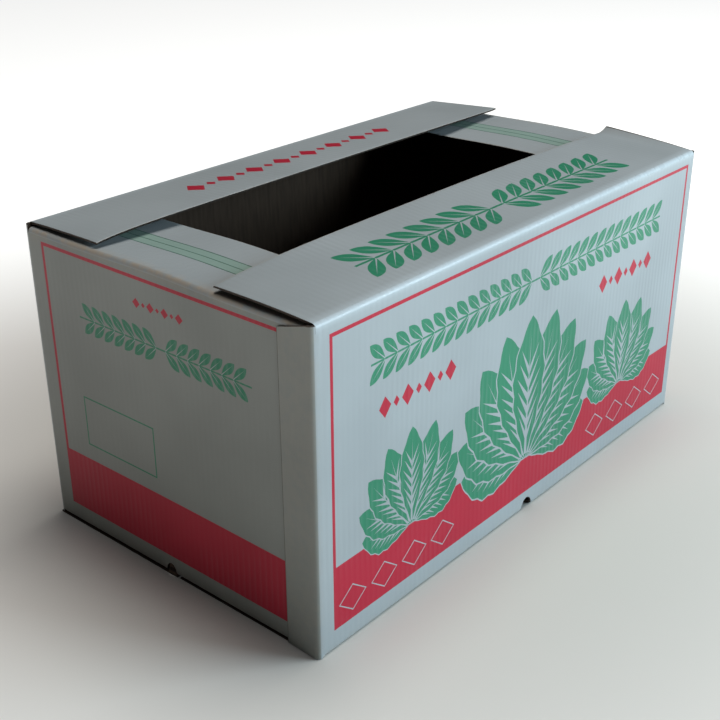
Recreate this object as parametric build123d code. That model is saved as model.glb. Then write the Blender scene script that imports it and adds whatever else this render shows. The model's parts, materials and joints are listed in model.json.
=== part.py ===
from build123d import *
import os
from math import asin, cos, degrees, floor, radians, sin, sqrt

# Outside of the made-up carton: length over the glue lap, width, and height to the long panels' scores
carton_length = 580.0
carton_width = 339.0
carton_height = 292.0

# Board: caliper, liner, fluted medium and the open flute ends along a cut edge
board = 3.0
liner = 0.5
medium = 0.4
flute_pitch = 6.5
flute_mouth_depth = 20.0
flute_crest_share = 0.2

# Folds: inside radius of a flap's fold and of an upright corner, and outside radius of a hinging score
fold_inner_radius = 1.0
corner_inner_radius = 2.0
score_radius = 3.0
score_clearance = 0.3

# Top flaps: the two long ones lie over the two end ones, and the front one is the longest
front_flap_length = 103.0
rear_flap_length = 94.0
end_flap_length = 98.0
flap_seat_clearance = 0.5
front_flap_lift_deg = 5.0
rear_flap_lift_deg = 3.6
end_flap_droop_deg = 2.5

# Corner slots: what they take off a corner fold's top, and off a long top flap beside it
corner_cut = 1.0
slot_clearance = 0.5

# Bottom flaps: the gap where the two long ones meet, and how far these stop short of the outside
bottom_seam = 3.0
bottom_side_inset = 1.0

# Glue lap: the front panel's strip round the left corner, with its top cut on a taper
lap_width = 35.0
lap_taper = 9.0

# Drain notches, punched across the bottom creases: their sizes and their places along the panels
long_drain_radius = 10.0
long_drain_shift = 6.0
end_drain_radius = 7.5
end_drain_shift = -9.0

# How far a cutting solid runs past the board that it cuts
overrun = 1.0

# Faces and levels that the panels share
fold_radius = fold_inner_radius + board
corner_radius = corner_inner_radius + board
x_lap = -carton_length / 2
x_left = x_lap + board
x_right = carton_length / 2
y_front = -carton_width / 2
y_rear = carton_width / 2
corner_foot_height = board + flap_seat_clearance
corner_top_height = carton_height - corner_cut
end_score_height = carton_height - board - flap_seat_clearance
bottom_flap_length = (carton_width - bottom_seam) / 2
end_half_length = carton_width / 2 - corner_radius


def side_plane(origin, inward):
    """Plane on a panel's outer face: X runs into the carton, Y runs up and Z runs along the panel."""
    along = Vector(*inward).cross(Vector(0, 0, 1))
    return Plane(origin=origin, x_dir=inward, z_dir=along)


front_side = side_plane(((x_lap + x_right) / 2, y_front, 0), (0, 1, 0))
rear_side = side_plane(((x_left + x_right) / 2, y_rear, 0), (0, -1, 0))
left_side = side_plane((x_left, 0, 0), (1, 0, 0))
right_side = side_plane((x_right, 0, 0), (-1, 0, 0))
front_half_length = (x_right - x_lap) / 2 - corner_radius
rear_half_length = (x_right - x_left) / 2 - corner_radius
front_sole_half_length = (x_right - x_lap) / 2 - bottom_side_inset
rear_sole_half_length = (x_right - x_left) / 2 - bottom_side_inset


def rounded(profile, corner, radius):
    """Round the profile's corner that lies nearest to a point."""
    return fillet(profile.vertices().sort_by_distance((*corner, 0))[0], radius)


def long_profile():
    """Bottom flap, bottom fold and long panel as one bent board, mitred inside its top score."""
    mitre_drop = score_radius * (1 - sqrt(0.5))
    outline = Polyline(
        (mitre_drop, carton_height - mitre_drop),
        (board, carton_height - board),
        (board, board),
        (bottom_flap_length, board),
        (bottom_flap_length, 0),
        (0, 0),
        (0, carton_height - score_radius),
    )
    score_centre = (score_radius, carton_height - score_radius)
    crown = CenterArc(score_centre, score_radius, start_angle=180, arc_size=-45)
    profile = make_face(outline.edges() + [crown])
    profile = rounded(profile, (0, 0), fold_radius)
    return rounded(profile, (board, board), fold_inner_radius)


def end_profile():
    """Bottom flap, end panel and drooping top flap as one bent board that lies inside the long ones."""
    droop = radians(end_flap_droop_deg)
    tip = (end_flap_length * cos(droop), end_score_height - end_flap_length * sin(droop))
    tip_under = (tip[0] - board * sin(droop), tip[1] - board * cos(droop))
    inner_run = board * (1 + sin(droop)) / cos(droop)
    inner_score = (board, end_score_height - board * cos(droop) - inner_run * sin(droop))
    inner_crease = (board, board * 2)
    profile = make_face(
        Polyline(
            (bottom_flap_length, board),
            (0, board),
            (0, end_score_height),
            tip,
            tip_under,
            inner_score,
            inner_crease,
            (bottom_flap_length, board * 2),
            close=True,
        ).edges()
    )
    profile = rounded(profile, (0, board), fold_radius)
    profile = rounded(profile, (0, end_score_height), fold_radius)
    profile = rounded(profile, inner_score, fold_inner_radius)
    return rounded(profile, inner_crease, fold_inner_radius)


def drained(side, wall, crease_height, drain_radius, drain_shift):
    """A wall less the round drain notch punched across its bottom crease."""
    crease = side.location * Pos(0, crease_height, drain_shift)
    punch = Cylinder(drain_radius, (board + overrun) * 2)
    through_panel = crease * Rot(0, 90, 0) * punch
    through_flap = crease * Rot(90, 0, 0) * punch
    return wall - through_panel - through_flap


def long_wall(side, half_length, sole_half_length):
    """A long panel between two corner folds, with a bottom flap that reaches on under them."""
    profile = long_profile()
    flap_area = Rectangle(bottom_flap_length, board, align=(Align.MIN, Align.MIN))
    panel = extrude(side * profile, amount=half_length, both=True)
    flap = extrude(side * (profile & flap_area), amount=sole_half_length, both=True)
    return drained(side, panel + flap, 0, long_drain_radius, long_drain_shift)


def end_wall(side):
    """An end panel with its two flaps."""
    bent_board = extrude(side * end_profile(), amount=end_half_length, both=True)
    return drained(side, bent_board, board, end_drain_radius, end_drain_shift)


def corner_fold(x, y, turn):
    """Upright fold between two panels, round (x, y), from above the bottom flaps to below the top scores."""
    ring = Circle(corner_radius) - Circle(corner_inner_radius)
    quarter = ring & Rectangle(corner_radius, corner_radius, align=(Align.MIN, Align.MIN))
    upright = extrude(quarter, amount=corner_top_height - corner_foot_height)
    return Pos(x, y, corner_foot_height) * Rot(0, 0, turn) * upright


def glue_lap():
    """Strip of the front panel that is glued over the left end panel's outside."""
    reach = lap_width - corner_radius
    face = make_face(
        Polyline(
            (0, corner_foot_height),
            (reach, corner_foot_height),
            (reach, corner_top_height - lap_taper),
            (0, corner_top_height),
            close=True,
        ).edges()
    )
    plane = Plane(origin=(x_lap, y_front + corner_radius, 0), x_dir=(0, 1, 0), z_dir=(1, 0, 0))
    return extrude(plane * face, amount=board)


def carton():
    """Four walls with their bottom flaps and end flaps, the corner folds and the glue lap: one sheet."""
    walls = [
        long_wall(front_side, front_half_length, front_sole_half_length),
        long_wall(rear_side, rear_half_length, rear_sole_half_length),
        end_wall(left_side),
        end_wall(right_side),
    ]
    corners = [
        corner_fold(x_lap + corner_radius, y_front + corner_radius, 180),
        corner_fold(x_right - corner_radius, y_front + corner_radius, 270),
        corner_fold(x_right - corner_radius, y_rear - corner_radius, 0),
        corner_fold(x_left + corner_radius, y_rear - corner_radius, 90),
    ]
    return Part() + walls + corners + [glue_lap()]


def flap_profile(length):
    """Long top flap lying flat and closed, mitred inside the score that it turns on."""
    mitre_gap = score_clearance * sqrt(2)
    crown_angle = 45 - degrees(asin(score_clearance / score_radius))
    score_centre = (score_radius, carton_height - score_radius)
    crown = CenterArc(score_centre, score_radius, start_angle=90, arc_size=crown_angle)
    outline = Polyline(
        crown @ 1,
        (board + mitre_gap, carton_height - board),
        (length, carton_height - board),
        (length, carton_height),
        crown @ 0,
    )
    return make_face(outline.edges() + [crown])


def flute_mouths(length):
    """Open flute ends along a cut edge of that length, channels above and below the medium in turn."""
    count = floor(length / flute_pitch) - 1
    wide = flute_pitch * (1 - flute_crest_share) / 2
    narrow = flute_pitch * flute_crest_share / 2
    top = board - liner
    upper = make_face(
        Polyline(
            (-wide, top),
            (-narrow, liner + medium),
            (narrow, liner + medium),
            (wide, top),
            close=True,
        ).edges()
    )
    lower = make_face(
        Polyline(
            (-wide, liner),
            (-narrow, top - medium),
            (narrow, top - medium),
            (wide, liner),
            close=True,
        ).edges()
    )
    uppers = [place * upper for place in GridLocations(flute_pitch, flute_pitch, count, 1)]
    lowers = [place * lower for place in GridLocations(flute_pitch, flute_pitch, count - 1, 1)]
    return Sketch() + uppers + lowers


def long_flap(side, half_length, length, lift_deg):
    """Long top flap with open flutes along its cut edge, sprung up a little from flat about its score."""
    half_width = half_length - slot_clearance
    flap = extrude(side * flap_profile(length), amount=half_width, both=True)
    edge_middle = side.from_local_coords((length, carton_height - board, 0))
    edge = Plane(origin=edge_middle, x_dir=side.z_dir, z_dir=-side.x_dir)
    flap -= extrude(edge * flute_mouths(half_width * 2), amount=flute_mouth_depth)
    score = Axis(side.from_local_coords((0, carton_height, 0)), side.z_dir)
    return flap.rotate(score, lift_deg)


nodes = {
    "carton": carton(),
    "front_flap": long_flap(front_side, front_half_length, front_flap_length, front_flap_lift_deg),
    "rear_flap": long_flap(rear_side, rear_half_length, rear_flap_length, rear_flap_lift_deg),
}

os.makedirs("parts", exist_ok=True)
for name, shape in nodes.items():
    export_step(shape, f"parts/{name}.step")
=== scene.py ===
import json
import logging
from dataclasses import dataclass, field
from enum import Enum
from math import ceil, cos, pi, radians, sin, tan

import bpy
import numpy as np
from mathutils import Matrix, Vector
from mathutils.geometry import delaunay_2d_cdt


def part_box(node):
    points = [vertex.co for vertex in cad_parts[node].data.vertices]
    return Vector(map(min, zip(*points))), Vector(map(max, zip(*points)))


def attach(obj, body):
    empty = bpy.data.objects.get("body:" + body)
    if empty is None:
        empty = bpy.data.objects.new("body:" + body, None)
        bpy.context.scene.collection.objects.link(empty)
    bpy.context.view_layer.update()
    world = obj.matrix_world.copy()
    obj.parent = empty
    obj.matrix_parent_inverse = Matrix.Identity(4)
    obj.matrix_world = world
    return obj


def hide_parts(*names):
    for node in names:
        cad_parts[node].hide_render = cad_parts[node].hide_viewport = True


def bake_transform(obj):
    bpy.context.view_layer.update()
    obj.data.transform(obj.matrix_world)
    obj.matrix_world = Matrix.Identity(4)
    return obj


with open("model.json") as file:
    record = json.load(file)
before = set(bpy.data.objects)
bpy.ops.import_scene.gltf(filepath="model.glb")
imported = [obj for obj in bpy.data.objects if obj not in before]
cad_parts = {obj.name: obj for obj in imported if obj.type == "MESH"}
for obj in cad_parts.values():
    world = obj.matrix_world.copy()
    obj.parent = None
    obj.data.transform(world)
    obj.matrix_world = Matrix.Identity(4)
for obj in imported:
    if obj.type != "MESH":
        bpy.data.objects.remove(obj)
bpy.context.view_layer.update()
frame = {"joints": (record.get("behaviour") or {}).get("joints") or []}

LOG = logging.getLogger("carton")
MM = 0.001

Point = tuple[float, float]
Loop = list[Point]
Colour = tuple[float, float, float]
Place = tuple[float, float, float]


class Surface(Enum):
    """What a face of the board shows; the order is the order of the material slots."""

    LINER = 0
    RED = 1
    GREEN = 2
    TINT = 3
    LINE = 4
    # Painted highlight along the top flaps' free edges.
    RIM_HIGHLIGHT = 5
    # Painted shade: darker copy of the bare liner on the end walls and the lap.
    END_SHADE = 6
    # Painted shade: thin dark strips along the lap's cut edge and the front flap's right edge.
    EDGE_SHADE = 7
    KRAFT = 8
    RAW = 9


Finishes = dict[Surface, bpy.types.Material]


class Keep(Enum):
    """Which lines of a grid stay edges of the mesh."""

    ROWS = 0
    COLUMNS = 1


# Shader maths

class Number:
    """A number from a shader node; arithmetic on it adds Math nodes to its tree."""

    def __init__(self, tree: "ShaderTree", socket: bpy.types.NodeSocket) -> None:
        """Wrap one output socket."""
        self.tree = tree
        self.socket = socket

    def _math(self, operation: str, first: "Number | float", second: "Number | float") -> "Number":
        """Add one Math node.

        Args:
            operation: Name of the Math node's operation.
            first: Left operand.
            second: Right operand.

        Returns:
            The node's result.
        """
        made = self.tree.node("ShaderNodeMath", {"operation": operation}, {0: first, 1: second})
        return Number(self.tree, made.outputs[0])

    def __add__(self, other: "Number | float") -> "Number":
        """Sum."""
        return self._math("ADD", self, other)

    def __sub__(self, other: "Number | float") -> "Number":
        """Difference."""
        return self._math("SUBTRACT", self, other)

    def __rsub__(self, other: float) -> "Number":
        """Difference from a plain number."""
        return self._math("SUBTRACT", other, self)

    def __mul__(self, other: "Number | float") -> "Number":
        """Product."""
        return self._math("MULTIPLY", self, other)

    def __pow__(self, other: float) -> "Number":
        """Power."""
        return self._math("POWER", self, other)

    __radd__ = __add__
    __rmul__ = __mul__

    def sine(self) -> "Number":
        """Sine of the number, in radians."""
        return self._math("SINE", self, 0.0)

    def step(self, low: float, high: float) -> "Number":
        """Smooth step from 0 at low to 1 at high."""
        made = self.tree.node(
            "ShaderNodeMapRange",
            {"interpolation_type": "SMOOTHSTEP"},
            {"Value": self, "From Min": low, "From Max": high},
        )
        return Number(self.tree, made.outputs[0])


class ShaderTree:
    """Node tree of one material that ends in a Principled shader."""

    def __init__(self, name: str) -> None:
        """Make an empty material of that name."""
        self.material = bpy.data.materials.new(name)
        self.material.use_nodes = True
        self.tree = self.material.node_tree
        self.shader = next(n for n in self.tree.nodes if n.type == "BSDF_PRINCIPLED")

    def node(self, kind: str, settings: dict, inputs: dict) -> bpy.types.Node:
        """Add a node.

        Args:
            kind: The node's type.
            settings: Properties of the node, set first.
            inputs: Value or link of each socket, by name or index.

        Returns:
            The new node.
        """
        made = self.tree.nodes.new(kind)
        for key, value in settings.items():
            setattr(made, key, value)
        self.feed(made, inputs)
        return made

    def feed(self, node: bpy.types.Node, inputs: dict) -> None:
        """Set or link a node's sockets.

        Args:
            node: The node.
            inputs: Value or link of each socket, by name or index.
        """
        for key, value in inputs.items():
            value = value.socket if isinstance(value, Number) else value
            if isinstance(value, bpy.types.NodeSocket):
                self.tree.links.new(value, node.inputs[key])
            else:
                node.inputs[key].default_value = value

    def noise(self, place: bpy.types.NodeSocket, scale: float, detail: float = 2.0) -> Number:
        """Noise from 0 to 1 with `scale` grains to the metre."""
        made = self.node("ShaderNodeTexNoise", {}, {"Vector": place, "Scale": scale, "Detail": detail})
        return Number(self, made.outputs[0])

    def stretched(self, place: bpy.types.NodeSocket, scale: tuple) -> bpy.types.NodeSocket:
        """Coordinates scaled apart along each axis."""
        return self.node("ShaderNodeMapping", {}, {"Vector": place, "Scale": scale}).outputs[0]

    def mix(
        self,
        share: "Number | float",
        first: "bpy.types.NodeSocket | Colour",
        second: "bpy.types.NodeSocket | Colour",
    ) -> bpy.types.NodeSocket:
        """Mix two colours.

        Args:
            share: How much of the second colour shows.
            first: Colour at share 0.
            second: Colour at share 1.

        Returns:
            The mixed colour's socket.
        """
        ends = [(*c, 1.0) if isinstance(c, tuple) else c for c in (first, second)]
        made = self.node("ShaderNodeMix", {"data_type": "RGBA"}, {0: share, 6: ends[0], 7: ends[1]})
        return made.outputs[2]

    def bump(self, height: Number, distance: float) -> bpy.types.NodeSocket:
        """Normal of a surface raised by `height` times `distance` metres."""
        made = self.node("ShaderNodeBump", {}, {"Height": height, "Distance": distance})
        return made.outputs[0]


# Finishes of the board

@dataclass(frozen=True)
class BoardFinish:
    """What every face of the board shares: where its flutes run, where it is rubbed and where a highlight is
    painted on its folds.
    """

    name: str
    colour: Colour
    flute_pitch: float

    def flutes(self, tree: ShaderTree) -> Number:
        """Wave across the flutes, read from the flat blank's own coordinates.

        Args:
            tree: The material's tree.

        Returns:
            The wave, from 0 to 1.
        """
        flat = tree.node("ShaderNodeUVMap", {"uv_map": "blank"}, {}).outputs[0]
        along = Number(tree, tree.node("ShaderNodeSeparateXYZ", {}, {0: flat}).outputs[0])
        return (along * (2 * pi / (self.flute_pitch * MM))).sine() * 0.5 + 0.5

    def place(self, tree: ShaderTree) -> bpy.types.NodeSocket:
        """Object coordinates."""
        return tree.node("ShaderNodeTexCoord", {}, {}).outputs["Object"]

    def wear_and_highlight(self, tree: ShaderTree) -> Number:
        """How far the face is rubbed, from its mesh's own attribute; below 0 it is the share of the painted
        fold highlight.
        """
        made = tree.node("ShaderNodeAttribute", {"attribute_name": "scuff_and_highlight"}, {})
        return Number(tree, made.outputs["Fac"])


@dataclass(frozen=True)
class WaxedLiner(BoardFinish):
    """Waxed outer liner, bare or under an ink.

    Bare liner shows through an ink in streaks along the flutes and at small specks.
    """

    bare: Colour = (0.36, 0.39, 0.40)
    rubbed: Colour = (0.42, 0.36, 0.29)
    # Pale colour painted along the long walls' top folds as a highlight, where they catch the light.
    painted_fold_highlight: Colour = (0.50, 0.56, 0.59)
    streak: float = 0.0
    shade: float = 0.86
    roughness: float = 0.40
    shine: float = 0.22
    washboard: float = 0.00010
    cloud_scale: float = 7.0
    patch_scale: float = 16.0
    speck_scale: float = 420.0
    rub_scale: float = 120.0
    fibre_scale: tuple[float, float, float] = (700.0, 700.0, 160.0)

    def material(self) -> bpy.types.Material:
        """Build the material.

        Returns:
            The finish's material.
        """
        tree = ShaderTree(self.name)
        place = self.place(tree)
        wave = self.flutes(tree)
        wear_and_highlight = self.wear_and_highlight(tree)
        cloud = tree.noise(place, self.cloud_scale, 3.0)
        patch = tree.noise(place, self.patch_scale, 2.0).step(0.38, 0.66)
        speck = tree.noise(place, self.speck_scale, 3.0)
        fibre = tree.noise(tree.stretched(place, self.fibre_scale), 1.0, 2.0)
        darker = tuple(c * self.shade for c in self.colour)
        colour = tree.mix(cloud.step(0.3, 0.75), self.colour, darker)
        thin = (wave ** 3.0) * patch * self.streak + speck.step(0.68, 0.80) * self.streak
        colour = tree.mix(thin, colour, self.bare)
        rub_and_highlight = wear_and_highlight * tree.noise(place, self.rub_scale, 3.0).step(0.30, 0.62)
        colour = tree.mix(rub_and_highlight, colour, self.rubbed)
        # Painted highlight: where the attribute is below 0, the pale highlight colour is mixed in.
        colour = tree.mix(wear_and_highlight * -1.0, colour, self.painted_fold_highlight)
        grain = wave * (patch * 0.6 + 0.4) + fibre * 0.5 + speck * 0.15
        tree.feed(
            tree.shader,
            {
                "Base Color": colour,
                "Roughness": cloud * 0.18 + rub_and_highlight * 0.25 + (self.roughness - 0.09),
                "Normal": tree.bump(grain, self.washboard),
                "Specular IOR Level": self.shine,
            },
        )
        return tree.material


@dataclass(frozen=True)
class KraftLiner(BoardFinish):
    """Brown inner liner, streaked along its fibres and by the flutes behind it."""

    shade: float = 0.62
    shine: float = 0.15
    relief: float = 0.00012
    cloud_scale: float = 11.0
    fibre_scale: tuple[float, float, float] = (260.0, 260.0, 30.0)

    def material(self) -> bpy.types.Material:
        """Build the material.

        Returns:
            The finish's material.
        """
        tree = ShaderTree(self.name)
        place = self.place(tree)
        wave = self.flutes(tree)
        fibre = tree.noise(tree.stretched(place, self.fibre_scale), 1.0, 4.0)
        cloud = tree.noise(place, self.cloud_scale, 3.0)
        darker = tuple(c * self.shade for c in self.colour)
        colour = tree.mix(fibre.step(0.35, 0.70) * 0.6 + cloud * 0.4, self.colour, darker)
        tree.feed(
            tree.shader,
            {
                "Base Color": colour,
                "Roughness": fibre * 0.2 + 0.55,
                "Normal": tree.bump(wave + fibre * 0.6, self.relief),
                "Specular IOR Level": self.shine,
            },
        )
        return tree.material


@dataclass(frozen=True)
class RawEdge(BoardFinish):
    """Cut edge of the board and its fluted medium, brown and fuzzy."""

    shade: float = 0.35
    relief: float = 0.0002
    fuzz_scale: float = 900.0
    patch_scale: float = 60.0

    def material(self) -> bpy.types.Material:
        """Build the material.

        Returns:
            The finish's material.
        """
        tree = ShaderTree(self.name)
        place = self.place(tree)
        fuzz = tree.noise(place, self.fuzz_scale, 3.0)
        patch = tree.noise(place, self.patch_scale, 2.0)
        darker = tuple(c * self.shade for c in self.colour)
        colour = tree.mix(fuzz.step(0.35, 0.65) * 0.7 + patch * 0.3, self.colour, darker)
        tree.feed(
            tree.shader,
            {
                "Base Color": colour,
                "Roughness": fuzz * 0.2 + 0.7,
                "Normal": tree.bump(fuzz, self.relief),
            },
        )
        return tree.material


# The bent board

@dataclass(frozen=True)
class Board:
    """Sizes of the corrugated board and of its folds, in millimetres."""

    caliper: float = 3.0
    liner: float = 0.5
    medium: float = 0.4
    pitch: float = 6.5
    mouth: float = 10.0
    fold_radius: float = 4.0
    corner_radius: float = 5.0
    fold_steps: int = 9
    wave_steps: int = 10
    slot: float = 0.5
    slit: float = 0.12


@dataclass(frozen=True)
class Corner:
    """Upright fold between two walls."""

    board: Board
    centre: Point
    first_angle: float

    @property
    def length(self) -> float:
        """Length of the outer arc."""
        return self.board.corner_radius * pi / 2

    def place(self, along: np.ndarray, level: np.ndarray, depth: np.ndarray) -> np.ndarray:
        """Bend points of the flat blank round the corner.

        Args:
            along: Distance from the corner's left end, seen from outside.
            level: Height on the blank.
            depth: Depth below the outer face.

        Returns:
            One row of x, y and z for each point.
        """
        angle = radians(self.first_angle) + along / self.board.corner_radius
        radius = self.board.corner_radius - depth
        x = self.centre[0] + radius * np.cos(angle)
        y = self.centre[1] + radius * np.sin(angle)
        return np.stack([x, y, level], axis=1)


@dataclass(frozen=True)
class FlapWarp:
    """How a top flap has warped: one tip sinks, the other end sags and its edge turns up.

    The tip that sinks is the left one, or the right one where the warp is mirrored.
    """

    tip_drop: float = 0.0
    tip_reach: float = 58.0
    end_sag: float = 0.0
    end_reach: float = 250.0
    turn_up: float = 0.0
    turn_reach: float = 15.0
    crush: float = 0.42
    crush_reach: float = 6.0
    edge_drop: float = 0.3
    edge_reach: float = 0.9
    mirrored: bool = False

    def lift(self, from_left: np.ndarray, from_right: np.ndarray, out_share: np.ndarray) -> np.ndarray:
        """Height that the warp adds.

        Args:
            from_left: Distance from the flap's left edge.
            from_right: Distance from its right edge.
            out_share: Distance from the fold as a share of the flap's length.

        Returns:
            Lift along the flap's normal, for each point.
        """
        if self.mirrored:
            from_left, from_right = from_right, from_left
        out = np.clip(out_share, 0.0, 1.0)
        drop = self.tip_drop * np.exp(-np.maximum(from_left, 0.0) / self.tip_reach)
        sag = self.end_sag * np.clip(1.0 - from_right / self.end_reach, 0.0, 1.0) ** 2
        turn = self.turn_up * np.clip(1.0 - from_right / self.turn_reach, 0.0, 1.0) ** 2
        return -(drop + sag) * out ** 1.5 + turn * out

    def squash(self, from_side: np.ndarray, from_edge: np.ndarray) -> np.ndarray:
        """Share of the board's caliper that is left beside a crushed cut edge."""
        near = np.maximum(np.minimum(from_side, from_edge), 0.0)
        return 1.0 - self.crush * np.exp(-near / self.crush_reach)

    def round_off(self, from_edge: np.ndarray) -> np.ndarray:
        """How far the outer liner is pressed down along the free edge."""
        return self.edge_drop * np.exp(-((from_edge / self.edge_reach) ** 2))


@dataclass(frozen=True)
class Panel:
    """A flat wall of the carton with the folds above and below it, in millimetres."""

    board: Board
    start: Point
    heading: Point
    length: float
    foot: float
    score: float
    lift_deg: float
    bottom_reach: float
    top_reach: float
    sole_margins: Point = (0.0, 0.0)
    bow: float = 0.0
    crown: float = 0.0
    crown_reach: float = 60.0
    crown_rise: float = 4.0
    settle: float = 0.0
    settle_reach: float = 25.0
    sole_crush: float = 0.0
    sole_reach: float = 8.0
    warp: FlapWarp = FlapWarp()
    # Rub along the top fold; below 0 a pale highlight is painted along it instead.
    top_wear_and_highlight: float = 0.15
    top_wear_and_highlight_reach: float = 3.0
    bottom_rub: float = 0.3
    rub_reach: float = 3.0

    @property
    def turn(self) -> float:
        """Angle of the top fold, in radians."""
        return radians(90.0 - self.lift_deg)

    @property
    def run_in(self) -> float:
        """Length that the top fold's arc takes from the wall and from the flap."""
        return self.board.fold_radius * tan(self.turn / 2)

    @property
    def bottom_wall(self) -> float:
        """Level where the bottom fold leaves the wall."""
        return self.foot + self.board.fold_radius

    @property
    def bottom_flap(self) -> float:
        """Level where the bottom fold meets the bottom flap."""
        return self.bottom_wall - self.board.fold_radius * pi / 2

    @property
    def bottom_edge(self) -> float:
        """Level of the bottom flap's cut edge."""
        return self.bottom_flap - (self.bottom_reach - self.board.fold_radius)

    @property
    def top_wall(self) -> float:
        """Level where the top fold leaves the wall."""
        return self.score - self.run_in

    @property
    def top_flap(self) -> float:
        """Level where the top fold meets the top flap."""
        return self.top_wall + self.board.fold_radius * self.turn

    @property
    def top_edge(self) -> float:
        """Level of the top flap's cut edge."""
        return self.on_flap(self.top_reach)

    def on_flap(self, out: float) -> float:
        """Level of a line on the top flap, by its distance from the score."""
        return self.top_flap + out - self.run_in

    def place(self, along: np.ndarray, level: np.ndarray, depth: np.ndarray) -> np.ndarray:
        """Bend points of the flat blank round the panel's two folds.

        Args:
            along: Distance from the panel's left end, seen from outside.
            level: Height on the blank.
            depth: Depth below the outer face.

        Returns:
            One row of x, y and z for each point.
        """
        radius = self.board.fold_radius
        low = np.clip((self.bottom_wall - level) / radius, 0.0, pi / 2)
        high = np.clip((level - self.top_wall) / radius, 0.0, self.turn)
        angle = pi + low - high
        normal = np.stack([np.cos(angle), np.sin(angle)], axis=1)
        inward = radius + radius * normal[:, 0]
        height = np.clip(level, self.bottom_wall, self.top_wall) + radius * normal[:, 1]
        under = np.maximum(self.bottom_flap - level, 0.0)
        inward += under
        height += self.settle * np.clip(under / self.settle_reach, 0.0, 1.0)
        beside = (along - self.length / 2) / self.crown_reach
        near_top = np.clip((level - self.top_wall) / self.crown_rise + 1.0, 0.0, 1.0)
        height += self.crown * np.exp(-(beside ** 2)) * near_top
        beyond = np.maximum(level - self.top_flap, 0.0)
        inward += beyond * np.sin(angle)
        height -= beyond * np.cos(angle)
        rise = self.swell(along, level) - depth * self.thickness(along, level)
        from_edge = self.top_edge - level
        rise -= self.warp.round_off(from_edge) * (1.0 - depth / self.board.caliper)
        inward += normal[:, 0] * rise
        height += normal[:, 1] * rise
        x = self.start[0] + self.heading[0] * along - self.heading[1] * inward
        y = self.start[1] + self.heading[1] * along + self.heading[0] * inward
        return np.stack([x, y, height], axis=1)

    def thickness(self, along: np.ndarray, level: np.ndarray) -> np.ndarray:
        """Share of the board's caliper that is left where its flaps are crushed.

        Args:
            along: Distance from the panel's left end, seen from outside.
            level: Height on the blank.

        Returns:
            The share, for each point.
        """
        from_side = np.minimum(along, self.length - along)
        on_top = np.clip((level - self.top_flap) / self.rub_reach, 0.0, 1.0)
        top = 1.0 - on_top * (1.0 - self.warp.squash(from_side, self.top_edge - level))
        on_sole = np.clip((self.bottom_wall - level) / self.board.fold_radius, 0.0, 1.0)
        sole_side = np.minimum(along + self.sole_margins[0], self.length - along + self.sole_margins[1])
        sole = 1.0 - on_sole * self.sole_crush * np.exp(-np.maximum(sole_side, 0.0) / self.sole_reach)
        return top * sole

    def rub_and_highlight(self, level: np.ndarray) -> np.ndarray:
        """How far the board is rubbed along its folds, and how strongly a highlight is painted along its top
        fold.

        Args:
            level: Height on the blank.

        Returns:
            The rub, for each point; below 0 it is the share of the pale painted highlight instead.
        """
        top = (self.top_wall + self.top_flap) / 2
        bottom = (self.bottom_wall + self.bottom_flap) / 2
        wear_and_highlight = self.top_wear_and_highlight * np.exp(-(((level - top) / self.top_wear_and_highlight_reach) ** 2))
        wear_and_highlight += self.bottom_rub * np.exp(-(((level - bottom) / self.rub_reach) ** 2))
        return wear_and_highlight

    def swell(self, along: np.ndarray, level: np.ndarray) -> np.ndarray:
        """How far the board stands out of its flat shape: a bowed wall and a warped top flap.

        Args:
            along: Distance from the panel's left end, seen from outside.
            level: Height on the blank.

        Returns:
            Distance along the board's normal, for each point.
        """
        up = np.clip((level - self.bottom_wall) / (self.top_wall - self.bottom_wall), 0.0, 1.0)
        across = np.clip(along / self.length, 0.0, 1.0)
        bowed = -self.bow * np.sin(pi * up) * np.sin(pi * across)
        out = (level - self.top_flap) / (self.top_edge - self.top_flap)
        return bowed + self.warp.lift(along, self.length - along, out)


@dataclass(frozen=True)
class Lap:
    """Glue lap: a flat strip outside the left end wall, pressed thin towards its cut edge."""

    board: Board
    start: Point
    length: float
    press: float = 1.3

    def place(self, along: np.ndarray, level: np.ndarray, depth: np.ndarray) -> np.ndarray:
        """Place points of the flat blank on the lap.

        Args:
            along: Distance from the lap's cut edge towards the front wall.
            level: Height on the blank.
            depth: Depth below the outer face.

        Returns:
            One row of x, y and z for each point.
        """
        sunk = self.press * (1.0 - np.clip(along / self.length, 0.0, 1.0))
        inward = sunk + depth * (1.0 - sunk / self.board.caliper)
        return np.stack([self.start[0] + inward, self.start[1] - along, level], axis=1)


Stretch = Corner | Panel | Lap


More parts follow.
